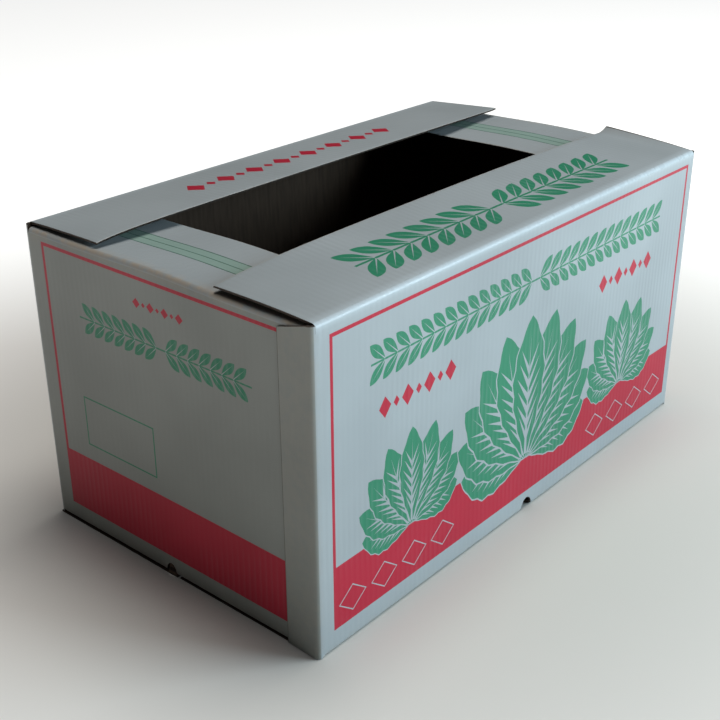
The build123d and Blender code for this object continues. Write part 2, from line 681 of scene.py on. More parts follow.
class Girth:
    """The stretches of the blank in order round the carton, left to right as seen from outside."""

    corner_rub = 0.12

    def __init__(self, stretches: dict[str, Stretch], corner_foot: float, corner_top: float) -> None:
        """Lay the stretches end to end.

        Args:
            stretches: The stretches by name, in order.
            corner_foot: Level of the corners' lower ends.
            corner_top: Level of their upper ends.
        """
        self.stretches = stretches
        self.corner_foot = corner_foot
        self.corner_top = corner_top
        self.starts: dict[str, float] = {}
        reached = 0.0
        for name, stretch in stretches.items():
            self.starts[name] = reached
            reached += stretch.length
        self.length = reached

    def span(self, name: str) -> Point:
        """First and last distance of a stretch along the blank."""
        return self.starts[name], self.starts[name] + self.stretches[name].length

    def middle(self, name: str) -> float:
        """Distance of a stretch's middle along the blank."""
        return sum(self.span(name)) / 2

    def place(self, flat: np.ndarray, depth: np.ndarray) -> np.ndarray:
        """Fold points of the flat blank up into the carton.

        A point on a line between two stretches belongs to the corner, which stays upright, and a
        point beyond the corner's ends to the flap that reaches past it.

        Args:
            flat: Distance along the blank and level on it, one row for each point.
            depth: Depth of each point below the outer face.

        Returns:
            One row of x, y and z for each point.
        """
        placed = np.zeros((len(flat), 3))
        # Points come back from the cutting in single precision
        tiny = 2e-3
        along, level = flat[:, 0], flat[:, 1]
        upright = (level > self.corner_foot - tiny) & (level < self.corner_top + tiny)
        for name, stretch in self.stretches.items():
            first, last = self.span(name)
            if isinstance(stretch, Corner):
                mine = (along > first - tiny) & (along < last + tiny) & upright
            elif isinstance(stretch, Lap):
                mine = along < last - tiny
            else:
                final = last + tiny if name == list(self.stretches)[-1] else last - tiny
                before, after = stretch.sole_margins
                beside = (along > first - before - tiny) & (along < last + after + tiny) & ~upright
                mine = (along > first + tiny) & (along < final) | beside
            placed[mine] = stretch.place(along[mine] - first, level[mine], depth[mine])
        return placed

    def rub_and_highlight(self, flat: np.ndarray) -> np.ndarray:
        """How far the blank is rubbed, and how strongly a highlight is painted on it.

        Args:
            flat: Distance along the blank and level on it, one row for each point.

        Returns:
            The rub, for each point; below 0 it is the share of the pale painted highlight instead.
        """
        wear_and_highlight = np.zeros(len(flat))
        for name, stretch in self.stretches.items():
            first, last = self.span(name)
            mine = (flat[:, 0] >= first) & (flat[:, 0] <= last)
            wear_and_highlight[mine] = stretch.rub_and_highlight(flat[mine, 1]) if isinstance(stretch, Panel) else self.corner_rub
        return wear_and_highlight


# Print

@dataclass(frozen=True)
class Shape:
    """A printed area on the flat blank; later shapes cover earlier ones."""

    surface: Surface
    loop: Loop


def box_shape(surface: Surface, left: float, right: float, low: float, high: float) -> Shape:
    """Printed rectangle, with points along its sides so that it follows a bent board.

    Args:
        surface: What it shows.
        left: Its left side along the blank.
        right: Its right side.
        low: Its lower side's level.
        high: Its upper side's level.

    Returns:
        The printed shape.
    """
    pitch = 12.0
    wide = np.linspace(left, right, ceil((right - left) / pitch) + 1).tolist()
    tall = np.linspace(low, high, ceil((high - low) / pitch) + 1).tolist()
    loop = [(x, low) for x in wide[:-1]]
    loop += [(right, y) for y in tall[:-1]]
    loop += [(x, high) for x in wide[:0:-1]]
    loop += [(left, y) for y in tall[:0:-1]]
    return Shape(surface, loop)


@dataclass(frozen=True)
class Leaf:
    """A pointed leaf that grows from a base point, in millimetres and degrees from upright."""

    base: Point
    lean: float
    length: float
    width: float
    ripple: float = 0.0
    steps: int = 14

    def at(self, share: float, aside: float) -> Point:
        """Point on the leaf.

        Args:
            share: Distance from the base as a share of the leaf's length.
            aside: Distance to the right of the midrib.

        Returns:
            The point on the blank.
        """
        lean = radians(self.lean)
        out = share * self.length
        return (
            self.base[0] + out * sin(lean) + aside * cos(lean),
            self.base[1] + out * cos(lean) - aside * sin(lean),
        )

    def half_width(self, share: float) -> float:
        """Half of the leaf's width at a share of its length."""
        frill = 1.0 + self.ripple * sin(share * pi * 11)
        return self.width / 2 * max(sin(pi * share ** 1.25), 0.0) ** 0.8 * frill

    def outline(self, margin: float = 0.0) -> Loop:
        """Edge of the leaf.

        Args:
            margin: How far the edge is grown.

        Returns:
            The edge's points.
        """
        shares = [k / self.steps for k in range(1, self.steps)]
        right = [self.at(s, self.half_width(s) + margin) for s in shares]
        left = [self.at(s, -self.half_width(s) - margin) for s in reversed(shares)]
        reach = margin / self.length
        return [self.at(-reach, 0.0), *right, self.at(1 + reach, 0.0), *left]

    def veins(self, pairs: int, thickness: float) -> list[Loop]:
        """Midrib and side veins, as slivers that thin out towards their tips.

        Args:
            pairs: Number of pairs of side veins.
            thickness: Half of the midrib's width at its foot.

        Returns:
            The slivers' edges, the midrib's first.
        """
        foot, tip = 0.03, 0.88
        first, run, rise = 0.16, 0.56, 0.17
        reach_share, root_share = 0.74, 0.4
        made = [[self.at(foot, -thickness), self.at(foot, thickness), self.at(tip, 0.0)]]
        for k in range(pairs):
            share = first + run * k / pairs
            end = share + rise
            reach = self.half_width(end) * reach_share
            for side in (-1, 1):
                root = side * thickness * root_share
                below, above = self.at(share - foot, root), self.at(share + foot, root)
                sliver = [below, self.at(end, side * reach), above]
                made.append(sliver if side > 0 else sliver[::-1])
        return made


def bunch(foot: Point, height: float, leaves: int = 9) -> list[Shape]:
    """Bunch of broad leaves that fan out of one foot, each edged by a line of bare liner.

    Args:
        foot: Where the stems meet, along the blank and up it.
        height: Length of the middle leaf.
        leaves: Number of leaves.

    Returns:
        The printed shapes, from the back to the front.
    """
    made: list[Shape] = []
    widest = 78.0
    foot_share, shrink_share, width_share = 0.05, 0.34, 0.34
    line_share, vein_share = 0.011, 0.014
    leans = [-widest + 2 * widest * k / (leaves - 1) for k in range(leaves)]
    for lean in sorted(leans, key=abs, reverse=True):
        share = abs(lean) / widest
        leaf = Leaf(
            (foot[0] + height * foot_share * sin(radians(lean)), foot[1]),
            lean,
            height * (1.0 - shrink_share * share ** 2),
            height * width_share,
            ripple=0.06,
            steps=22,
        )
        made.append(Shape(Surface.LINER, leaf.outline(height * line_share)))
        made.append(Shape(Surface.GREEN, leaf.outline()))
        made += [Shape(Surface.LINER, loop) for loop in leaf.veins(6, height * vein_share)]
    return made


def garland(middle: Point, half_length: float, leaf_length: float, surface: Surface) -> list[Shape]:
    """Row of leaf pairs along a thin stem, turned outwards from the middle.

    Args:
        middle: Middle of the stem, along the blank and up it.
        half_length: Half of the stem's length.
        leaf_length: Length of each leaf.
        surface: What the stem and the leaves show.

    Returns:
        The printed shapes.
    """
    pitch_share, width_share, stem_share, vein_share = 0.62, 0.40, 0.035, 0.022
    first_share = 0.6
    leans = (48.0, 132.0)
    x, y = middle
    pitch = leaf_length * pitch_share
    count = int(half_length / pitch)
    thin = leaf_length * stem_share
    made = [box_shape(surface, x - half_length, x + half_length, y - thin, y + thin)]
    for side in (-1, 1):
        for k in range(1, count + 1):
            base = (x + side * (k - first_share) * pitch, y)
            for lean in leans:
                leaf = Leaf(base, side * lean, leaf_length, leaf_length * width_share)
                made.append(Shape(surface, leaf.outline()))
                made.append(Shape(Surface.LINER, leaf.veins(0, leaf_length * vein_share)[0]))
    return made


def lozenge(surface: Surface, middle: Point, width: float, height: float) -> Shape:
    """Printed diamond."""
    x, y = middle
    return Shape(surface, [(x - width / 2, y), (x, y - height / 2), (x + width / 2, y), (x, y + height / 2)])


def lozenge_row(surface: Surface, middle: Point, count: int, width: float, height: float) -> list[Shape]:
    """Row of diamonds, large and small in turn.

    Args:
        surface: What they show.
        middle: Middle of the row, along the blank and up it.
        count: Number of diamonds.
        width: Width of a large one.
        height: Height of a large one.

    Returns:
        The printed shapes.
    """
    small_share, pitch_share = 0.5, 0.95
    made = []
    for k in range(count):
        size = 1.0 if k % 2 == 0 else small_share
        at = (middle[0] + (k - (count - 1) / 2) * width * pitch_share, middle[1])
        made.append(lozenge(surface, at, width * size, height * size))
    return made


# Flat parts of the blank

@dataclass
class FlatSheet:
    """A flat part of the blank: its outline, holes and print, and the lines that its mesh keeps."""

    outline: Loop
    holes: list[Loop] = field(default_factory=list)
    shapes: list[Shape] = field(default_factory=list)
    points: Loop = field(default_factory=list)
    lines: list[tuple[int, int]] = field(default_factory=list)

    def add_grid(self, columns: np.ndarray, rows: np.ndarray, keep: "Keep | None" = None) -> None:
        """Add mesh points on a grid.

        Args:
            columns: Distances along the blank.
            rows: Levels on it.
            keep: Which of the grid's lines stay edges, where the board bends.
        """
        wide = len(columns)
        start = len(self.points)
        self.points += [(float(c), float(r)) for r in rows for c in columns]
        numbers = np.arange(start, len(self.points)).reshape(len(rows), wide)
        if keep is Keep.ROWS:
            self.lines += list(zip(numbers[:, :-1].ravel().tolist(), numbers[:, 1:].ravel().tolist()))
        if keep is Keep.COLUMNS:
            self.lines += list(zip(numbers[:-1].ravel().tolist(), numbers[1:].ravel().tolist()))

    def cut(self) -> tuple[np.ndarray, np.ndarray, list[Surface]]:
        """Cut the sheet into triangles along all its lines.

        Returns:
            The points, the triangles' corners and what each triangle shows.
        """
        points = list(self.points)
        faces = []
        for loop in [self.outline, *self.holes, *(s.loop for s in self.shapes)]:
            faces.append(list(range(len(points), len(points) + len(loop))))
            points += loop
        tolerance = 1e-3
        cut = delaunay_2d_cdt([Vector(p) for p in points], self.lines, faces, 0, tolerance, True)
        flat = np.array([(v.x, v.y) for v in cut[0]])
        first_shape = 1 + len(self.holes)
        triangles, shown = [], []
        for corners, inside in zip(cut[2], cut[5]):
            if 0 not in inside or any(0 < k < first_shape for k in inside):
                continue
            top = max(inside)
            triangles.append(corners)
            shown.append(self.shapes[top - first_shape].surface if top >= first_shape else Surface.LINER)
        return flat, np.array(triangles), shown


@dataclass(frozen=True)
class Mouth:
    """A cut edge across the flutes, where their open ends show."""

    level: float
    first: float
    last: float
    inward: int = -1


class FluteMedium:
    """Strip of fluted medium made by a Geometry Nodes tree."""

    def __init__(self, board: Board) -> None:
        """Build the node tree.

        Args:
            board: The board that the medium belongs to.
        """
        self.board = board
        self.tree = bpy.data.node_groups.new("flute_medium", "GeometryNodeTree")
        self._build()

    def _node(self, kind: str, settings: dict, inputs: dict) -> bpy.types.Node:
        """Add a node.

        Args:
            kind: The node's type.
            settings: Properties of the node, set first.
            inputs: Value or link of each socket, by name or index.

        Returns:
            The new node.
        """
        made = self.tree.nodes.new(kind)
        for key, value in settings.items():
            setattr(made, key, value)
        for key, value in inputs.items():
            if isinstance(value, bpy.types.NodeSocket):
                self.tree.links.new(value, made.inputs[key])
            else:
                made.inputs[key].default_value = value
        return made

    def _math(self, operation: str, first: object, second: object) -> bpy.types.NodeSocket:
        """Result of one Math node."""
        return self._node("ShaderNodeMath", {"operation": operation}, {0: first, 1: second}).outputs[0]

    def _build(self) -> None:
        """Sweep the medium's section along a wave."""
        kinds = {name: "Float" for name in ("Length", "Pitch", "Height", "Thickness", "Depth")}
        kinds |= {"Steps": "Int", "Finish": "Material"}
        self.tree.interface.new_socket("Geometry", in_out="OUTPUT", socket_type="NodeSocketGeometry")
        for name, kind in kinds.items():
            self.tree.interface.new_socket(name, in_out="INPUT", socket_type=f"NodeSocket{kind}")
        given = self._node("NodeGroupInput", {}, {}).outputs
        step = self._math("DIVIDE", given["Pitch"], given["Steps"])
        count = self._math("ADD", self._math("DIVIDE", given["Length"], step), 1.0)
        offset = self._node("ShaderNodeCombineXYZ", {}, {0: step}).outputs[0]
        line = self._node("GeometryNodeMeshLine", {}, {"Count": count, "Offset": offset}).outputs[0]
        index = self._node("GeometryNodeInputIndex", {}, {}).outputs[0]
        turn = self._math("MULTIPLY", self._math("DIVIDE", index, given["Steps"]), 2 * pi)
        wave = self._math("MULTIPLY", self._math("SINE", turn, 0.0), given["Height"])
        rise = self._node("ShaderNodeCombineXYZ", {}, {2: wave}).outputs[0]
        waved = self._node("GeometryNodeSetPosition", {}, {"Geometry": line, "Offset": rise}).outputs[0]
        curve = self._node("GeometryNodeMeshToCurve", {}, {"Mesh": waved}).outputs[0]
        upright = self._node("GeometryNodeSetCurveNormal", {"mode": "Z_UP"}, {"Curve": curve}).outputs[0]
        section = self._node(
            "GeometryNodeCurvePrimitiveQuadrilateral",
            {"mode": "RECTANGLE"},
            {"Width": given["Depth"], "Height": given["Thickness"]},
        ).outputs[0]
        swept = self._node(
            "GeometryNodeCurveToMesh",
            {},
            {"Curve": upright, "Profile Curve": section, "Fill Caps": True},
        ).outputs[0]
        real = self._node("GeometryNodeRealizeInstances", {}, {"Geometry": swept}).outputs[0]
        finish = {"Geometry": real, "Material": given["Finish"]}
        dressed = self._node("GeometryNodeSetMaterial", {}, finish).outputs[0]
        self._node("NodeGroupOutput", {}, {"Geometry": dressed})

    def strip(self, length: float, finish: bpy.types.Material) -> tuple[np.ndarray, list[list[int]]]:
        """Make a strip of medium along a cut edge.

        Args:
            length: Length along the edge, in millimetres.
            finish: The strip's material.

        Returns:
            Its points, with the edge along X and the wave along Z, and its faces.
        """
        board = self.board
        sizes = {
            "Length": length,
            "Pitch": board.pitch,
            "Height": (board.caliper - board.medium) / 2 - board.liner,
            "Thickness": board.medium,
            "Depth": board.mouth - board.liner,
            "Steps": board.wave_steps,
            "Finish": finish,
        }
        carrier = bpy.data.objects.new("flute_strip", bpy.data.meshes.new("flute_strip"))
        bpy.context.scene.collection.objects.link(carrier)
        modifier = carrier.modifiers.new("flutes", "NODES")
        modifier.node_group = self.tree
        for item in self.tree.interface.items_tree:
            if item.name in sizes:
                modifier[item.identifier] = sizes[item.name]
        graph = bpy.context.evaluated_depsgraph_get()
        made = bpy.data.meshes.new_from_object(carrier.evaluated_get(graph))
        points = np.array([v.co for v in made.vertices])
        faces = [list(p.vertices) for p in made.polygons]
        bpy.data.objects.remove(carrier)
        bpy.data.meshes.remove(made)
        return points, faces


class BoardPiece:
    """One piece of bent board, gathered face by face on the flat blank and then folded up."""

    sharp_deg = 40.0

    def __init__(self, name: str, girth: Girth, medium: FluteMedium, finishes: Finishes) -> None:
        """Start an empty piece.

        Args:
            name: The piece's name.
            girth: The girth that it is folded round.
            medium: The medium that shows in its cut edges.
            finishes: Material of every kind of face.
        """
        self.name = name
        self.girth = girth
        self.medium = medium
        self.board = medium.board
        self.finishes = finishes
        self.flat = np.zeros((0, 2))
        self.depth = np.zeros(0)
        self.faces: list[list[int]] = []
        self.shown: list[Surface] = []

    def add_points(self, flat: np.ndarray, depth: "np.ndarray | float") -> np.ndarray:
        """Add points of the blank.

        Args:
            flat: Distance along the blank and level on it, one row for each point.
            depth: Depth below the outer face, for each point or for all.

        Returns:
            The points' numbers.
        """
        first = len(self.flat)
        self.flat = np.concatenate([self.flat, flat])
        self.depth = np.concatenate([self.depth, np.broadcast_to(depth, len(flat))])
        return np.arange(first, len(self.flat))

    def add_face(self, corners: list, surface: Surface) -> None:
        """Add one face."""
        self.faces.append([int(c) for c in corners])
        self.shown.append(surface)

    def add_sheet(self, sheet: FlatSheet, mouths: list[Mouth]) -> None:
        """Add a flat part of the blank with both its liners and its cut edges.

        Args:
            sheet: The flat part.
            mouths: Cut edges where its flutes are open.
        """
        flat, triangles, shown = sheet.cut()
        used = np.unique(triangles)
        outer = np.full(len(flat), -1)
        inner = np.full(len(flat), -1)
        outer[used] = self.add_points(flat[used], 0.0)
        inner[used] = self.add_points(flat[used], self.board.caliper)
        for corners, surface in zip(triangles, shown):
            self.add_face(outer[corners], surface)
            self.add_face(inner[corners[::-1]], Surface.KRAFT)
        edges = {(a, b) for t in triangles.tolist() for a, b in zip(t, t[1:] + t[:1])}
        rim = sorted((a, b) for a, b in edges if (b, a) not in edges)
        throats: dict[int, list] = {}
        open_edges: set = set()
        for mouth in mouths:
            open_edges |= self._open_mouth(mouth, flat, rim, throats)
        for a, b in rim:
            ring_a = [outer[a], *throats.get(a, []), inner[a]]
            ring_b = [outer[b], *throats.get(b, []), inner[b]]
            if (a, b) in open_edges:
                for k in range(len(ring_a) - 1):
                    self.add_face([ring_b[k], ring_a[k], ring_a[k + 1], ring_b[k + 1]], Surface.RAW)
            else:
                lips_a = throats[a][::3] if a in throats else []
                lips_b = throats[b][::3] if b in throats else []
                side = [outer[b], outer[a], *lips_a, inner[a], inner[b], *lips_b[::-1]]
                self.add_face(side, Surface.RAW)

    def _open_mouth(self, mouth: Mouth, flat: np.ndarray, rim: list, throats: dict) -> set:
        """Open the flutes along a cut edge.

        Args:
            mouth: The cut edge.
            flat: Points of the sheet.
            rim: The sheet's cut edges, each a pair of points.
            throats: Points inside the mouth, by the point of the rim; this adds to them.

        Returns:
            The cut edges that the mouth takes.
        """
        tiny = 1e-2
        on_level = np.abs(flat[:, 1] - mouth.level) < tiny
        within = (flat[:, 0] > mouth.first - tiny) & (flat[:, 0] < mouth.last + tiny)
        mine = {(a, b) for a, b in rim if (on_level & within)[[a, b]].all()}
        back = mouth.level + mouth.inward * self.board.mouth
        deep = self.board.caliper - self.board.liner
        depths = np.array([self.board.liner, self.board.liner, deep, deep])
        levels = [mouth.level, back, back, mouth.level]
        for point in sorted({k for edge in mine for k in edge}):
            throat = np.array([(flat[point, 0], level) for level in levels])
            throats[point] = list(self.add_points(throat, depths))
        heads, tails = {b for _, b in mine}, {a for a, _ in mine}
        for end in heads - tails:
            self.add_face(throats[end], Surface.RAW)
        for end in tails - heads:
            self.add_face(throats[end][::-1], Surface.RAW)
        self._add_medium(mouth)
        return mine

    def _add_medium(self, mouth: Mouth) -> None:
        """Lay a strip of fluted medium in a mouth.

        Args:
            mouth: The cut edge.
        """
        length = mouth.last - mouth.first
        points, faces = self.medium.strip(length, self.finishes[Surface.RAW])
        middle = mouth.level + mouth.inward * (self.board.mouth + self.board.liner) / 2
        flat = np.stack([mouth.first + points[:, 0], middle + points[:, 1]], axis=1)
        numbers = self.add_points(flat, self.board.caliper / 2 - points[:, 2])
        for face in faces:
            self.add_face(numbers[face], Surface.RAW)

    def build(self) -> bpy.types.Object:
        """Fold the piece up and make its object.

        Returns:
            The object, with a material slot for each kind of face that it shows.
        """
        mesh = bpy.data.meshes.new(self.name)
        mesh.from_pydata((self.girth.place(self.flat, self.depth) * MM).tolist(), [], self.faces)
        slots = sorted(set(self.shown), key=lambda surface: surface.value)
        for surface in slots:
            mesh.materials.append(self.finishes[surface])
        mesh.polygons.foreach_set("material_index", [slots.index(s) for s in self.shown])
        mesh.polygons.foreach_set("use_smooth", [True] * len(self.faces))
        corners = np.zeros(len(mesh.loops), int)
        mesh.loops.foreach_get("vertex_index", corners)
        blank = mesh.uv_layers.new(name="blank")
        blank.uv.foreach_set("vector", (self.flat[corners] * MM).ravel())
        # Rub along folds and corners, with the painted fold highlight below 0.
        scuff_and_highlight = mesh.attributes.new("scuff_and_highlight", "FLOAT", "POINT")
        scuff_and_highlight.data.foreach_set("value", self.girth.rub_and_highlight(self.flat))
        mesh.update()
        mesh.set_sharp_from_angle(angle=radians(self.sharp_deg))
        piece = bpy.data.objects.new(self.name, mesh)
        bpy.context.scene.collection.objects.link(piece)
        LOG.info("%s: %d faces", self.name, len(self.faces))
        return piece


@dataclass(frozen=True)
class LongPrint:
    """Places and sizes of a long wall's print, from its middle and from the floor."""

    outlined_count: int = 4
    outlined_first: float = 128.0
    outlined_pitch: float = 40.0
    outlined_level: float = 40.0
    outlined_size: Point = (34.0, 26.0)
    outlined_core: Point = (31.0, 23.4)
    garland_level: float = 238.0
    garland_half: float = 225.0
    garland_leaf: float = 25.0
    row_aside: float = 165.0
    row_level: float = 196.0
    row_count: int = 7
    row_size: Point = (15.0, 19.0)
    side_bunch: Point = (172.0, 72.0)
    side_bunch_height: float = 92.0
    middle_bunch_level: float = 58.0
    middle_bunch_height: float = 146.0
    middle_bunch_leaves: int = 11


@dataclass(frozen=True)
class EndPrint:
    """Places and sizes of an end's print, from its middle, from the floor and from the flap's score."""

    row_level: float = 256.0
    row_count: int = 7
    row_size: Point = (9.0, 9.0)
    garland_level: float = 222.0
    garland_half: float = 104.0
    garland_leaf: float = 21.0
    ruled_sides: Point = (-112.5, -19.5)
    ruled_levels: Point = (94.0, 143.0)
    rule: float = 1.3
    stripes: Point = (40.0, 62.0)
    stripe_lines: tuple[Point, ...] = ((40.0, 41.3), (50.4, 51.6), (60.7, 62.0))


@dataclass(frozen=True)
class FlapPrint:
    """Places and sizes of the long flaps' print, from their middles and from their scores."""

    garland_out: float = 46.0
    garland_half: float = 190.0
    garland_leaf: float = 36.0
    # Width of the painted shade strip along the front flap's right edge.
    edge_shade_width: float = 1.2
    row_out: float = 48.0
    row_count: int = 15
    row_size: Point = (20.0, 25.0)


@dataclass
class Carton:
    """The carton: its blank, its print and the pieces that the blank folds into, in millimetres."""

    board: Board
    finishes: Finishes
    lap_width: float = 35.0
    lap_taper: float = 9.0
    corner_foot: float = 0.6
    corner_cut: float = 1.0
    lip_gap: float = 0.3
    front_sole_margins: Point = (2.0, 4.8)
    rear_sole_margins: Point = (4.8, 5.6)
    end_foot: float = 1.0
    front_reach: float = 103.0
    rear_reach: float = 94.0
    end_reach: float = 98.0
    bottom_seam: float = 3.0
    seat: float = 0.5
    end_droop: float = 2.5
    long_bow: float = 2.0
    end_bow: float = 1.5
    end_crown: float = 1.8
    # Painted highlight along the long walls' top folds, where they catch the light; below 0 it picks the pale
    # colour.
    long_fold_highlight: float = -0.7
    long_fold_highlight_reach: float = 5.0
    end_top_rub: float = 0.9
    front_warp: FlapWarp = FlapWarp(tip_drop=6.4, end_sag=5.0, turn_up=5.0)
    rear_warp: FlapWarp = FlapWarp(tip_drop=3.8, tip_reach=30.0, end_sag=0.5, turn_up=0.5, mirrored=True)
    drain_height: float = 11.5
    drain_steps: int = 28
    end_drain_sunk: float = 1.0
    long_drain_reach: float = 8.5
    long_drain_shift: float = 6.0
    end_drain_reach: float = 6.5
    end_drain_shift: float = -9.0
    fold_strip: float = 7.0
    mesh_pitch: float = 10.0
    fine_reach: float = 24.0
    fine_lines: int = 8
    corner_rows: int = 29
    wall_rows: int = 28
    sole_rows: int = 10
    end_flap_rows: int = 13
    long_flap_rows: int = 14
    strip_rows: int = 4
    strip_extra_steps: int = 4
    lap_lines: int = 5
    rim_shares: tuple[float, ...] = (0.5, 1.0, 2.0, 5.0)
    mouth_margin: float = 2.0
    # Width of the painted highlight strip along the top flaps' free edges.
    rim_width: float = 0.7
    # Width of the painted shade line along the lap's cut edge.
    edge_shade_width: float = 0.5
    # How far the lap's painted shade reaches round the near corner.
    end_shade_reach: float = 6.0
    frame_line: float = 3.2
    long_insets: Point = (14.0, 9.0)
    end_insets: Point = (17.0, 17.0)
    frame_drop: float = 12.0
    band_low: float = 19.5
    band_high: float = 78.5
    on_long: LongPrint = LongPrint()
    on_end: EndPrint = EndPrint()
    on_flaps: FlapPrint = FlapPrint()
    long_names: tuple[str, str] = ("front", "rear")

    def __post_init__(self) -> None:
        """Read the carton's outside from the frame and lay out its girth."""
        low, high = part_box("carton")
        self.low = [c / MM for c in low]
        self.high = [c / MM for c in high]
        self.joints = {joint["child"]: joint for joint in frame["joints"]}
        self.height = self.joints["front_flap"]["pos_m"][2] / MM
        self.medium = FluteMedium(self.board)
        self.girth = self.lay_out()

    def lay_out(self) -> Girth:
        """Place the walls and corners round the carton.

        Returns:
            The girth.
        """
        board = self.board
        radius = board.corner_radius
        x_lap, x_right = self.low[0], self.high[0]
        x_left = x_lap + board.caliper
        y_front, y_rear = self.low[1], self.high[1]
        reach = (y_rear - y_front - self.bottom_seam) / 2
        long_size = {
            "foot": 0.0,
            "score": self.height,
            "bottom_reach": reach,
            "sole_crush": 1.0 - self.end_foot / board.caliper,
            "bow": self.long_bow,
            # On the long walls a pale highlight is painted along the top fold.
            "top_wear_and_highlight": self.long_fold_highlight,
            "top_wear_and_highlight_reach": self.long_fold_highlight_reach,
        }
        end_size = {
            "length": y_rear - y_front - 2 * radius,
            "foot": self.end_foot,
            "settle": board.caliper - self.end_foot,
            "score": self.end_score,
            "lift_deg": -self.end_droop,
            "bottom_reach": reach,
            "top_reach": self.end_reach,
            "bow": self.end_bow,
            "crown": self.end_crown,
            "top_wear_and_highlight": self.end_top_rub,
        }
        front = Panel(
            board,
            (x_lap + radius, y_front),
            (1.0, 0.0),
            length=x_right - x_lap - 2 * radius,
            lift_deg=180.0 - self.joints["front_flap"]["range_deg"][1],
            top_reach=self.front_reach,
            sole_margins=self.front_sole_margins,
            warp=self.front_warp,
            **long_size,
        )
        rear = Panel(
            board,
            (x_right - radius, y_rear),
            (-1.0, 0.0),
            length=x_right - x_left - 2 * radius,
            lift_deg=180.0 - self.joints["rear_flap"]["range_deg"][1],
            top_reach=self.rear_reach,
            sole_margins=self.rear_sole_margins,
            warp=self.rear_warp,
            **long_size,
        )
        return Girth(
            {
                "lap": Lap(board, (x_lap, y_front + self.lap_width), self.lap_width - radius),
                "near_corner": Corner(board, (x_lap + radius, y_front + radius), 180.0),
                "front": front,
                "right_corner": Corner(board, (x_right - radius, y_front + radius), 270.0),
                "right": Panel(board, (x_right, y_front + radius), (0.0, 1.0), **end_size),
                "far_corner": Corner(board, (x_right - radius, y_rear - radius), 0.0),
                "rear": rear,
                "left_corner": Corner(board, (x_left + radius, y_rear - radius), 90.0),
                "left": Panel(board, (x_left, y_rear - radius), (0.0, -1.0), **end_size),
            },
            self.corner_foot,
            self.corner_top,
        )

    @property
    def corner_top(self) -> float:
        """Level of the corners' top ends."""
        return self.height - self.corner_cut

    @property
    def end_score(self) -> float:
        """Level of the end flaps' scores."""
        return self.height - self.board.caliper - self.seat

    @property
    def strip_level(self) -> float:
        """Level where a long wall ends and the strip that bends with its flap begins."""
        return self.height - self.fold_strip

    def edges_of(self, name: str) -> Point:
        """Left and right cut edge of a panel's top flap.

        Args:
            name: The panel's name.

        Returns:
            Their distances along the blank.
        """
        first, last = self.girth.span(name)
        slot = self.board.slit if name in self.long_names else self.board.slot
        final = name == list(self.girth.stretches)[-1]
        return first + slot, last - (0.0 if final else slot)

    def sole_edges_of(self, name: str) -> Point:
        """Left and right cut edge of a panel's bottom flap.

        Args:
            name: The panel's name.

        Returns:
            Their distances along the blank.
        """
        if name not in self.long_names:
            return self.edges_of(name)
        first, last = self.girth.span(name)
        before, after = self.girth.stretches[name].sole_margins
        return first - before, last + after

    def outline(self) -> Loop:
        """Cut edge of the walls with their bottom flaps and the end flaps.

        Returns:
            The edge's points, anticlockwise.
        """
        low: Loop = []
        high: Loop = []
        for name, stretch in self.girth.stretches.items():
            first, last = self.girth.span(name)
            if isinstance(stretch, Lap):
                low.append((first, self.corner_foot))
                high.append((first, self.corner_top - self.lap_taper))
            elif isinstance(stretch, Corner):
                low += [(first, self.corner_foot), (last, self.corner_foot)]
                high += [(first, self.corner_top), (last, self.corner_top)]
            elif name in self.long_names:
                lip = self.corner_foot - self.lip_gap
                low += self._notched(name, self.sole_edges_of(name), lip, stretch.bottom_edge)
                high += [(first, self.strip_level), (last, self.strip_level)]
            else:
                low += self._notched(name, self.edges_of(name), stretch.bottom_wall, stretch.bottom_edge)
                high += self._notched(name, self.edges_of(name), stretch.top_wall, stretch.top_edge)
        return low + high[::-1]

    def _notched(self, name: str, sides: Point, wall: float, edge: float) -> Loop:
        """Edge of a flap from slot to slot.

        Args:
            name: Name of the panel that carries the flap.
            sides: The flap's left and right edge along the blank.
            wall: Level where the slots end.
            edge: Level of the flap's cut edge.

        Returns:
            The edge's points, left to right.
        """
        first, last = self.girth.span(name)
        left, right = sides
        loop = [(first, wall), (left, wall), (left, edge), (right, edge)]
        return loop if right == last else [*loop, (right, wall), (last, wall)]

    def drain(self, name: str) -> Loop:
        """Round notch punched across a bottom crease.

        Args:
            name: The panel's name.

        Returns:
            The notch's edge.
        """
        panel = self.girth.stretches[name]
        long = name in self.long_names
        reach = self.long_drain_reach if long else self.end_drain_reach
        shift = self.long_drain_shift if long else self.end_drain_shift
        crease = (panel.bottom_wall + panel.bottom_flap) / 2
        tall = self.drain_height - crease
        middle = self.girth.middle(name) + shift
        turns = [2 * pi * k / self.drain_steps for k in range(self.drain_steps)]
        sunk = reach if long else self.end_drain_sunk
        return [(middle + reach * cos(a), crease + (tall if sin(a) > 0 else sunk) * sin(a)) for a in turns]

    def framed(self, name: str, bare: Surface) -> list[Shape]:
        """Red frame line with a broad band along its foot.

        Args:
            name: The wall's name.
            bare: What the wall shows inside the frame.

        Returns:
            The printed shapes.
        """
        first, last = self.girth.span(name)
        insets = self.long_insets if name in self.long_names else self.end_insets
        left, right = first + insets[0], last - insets[1]
        top = self.height - self.frame_drop
        line = self.frame_line
        return [
            box_shape(Surface.RED, left, right, self.band_low, top),
            box_shape(bare, left + line, right - line, self.band_high, top - line),
        ]

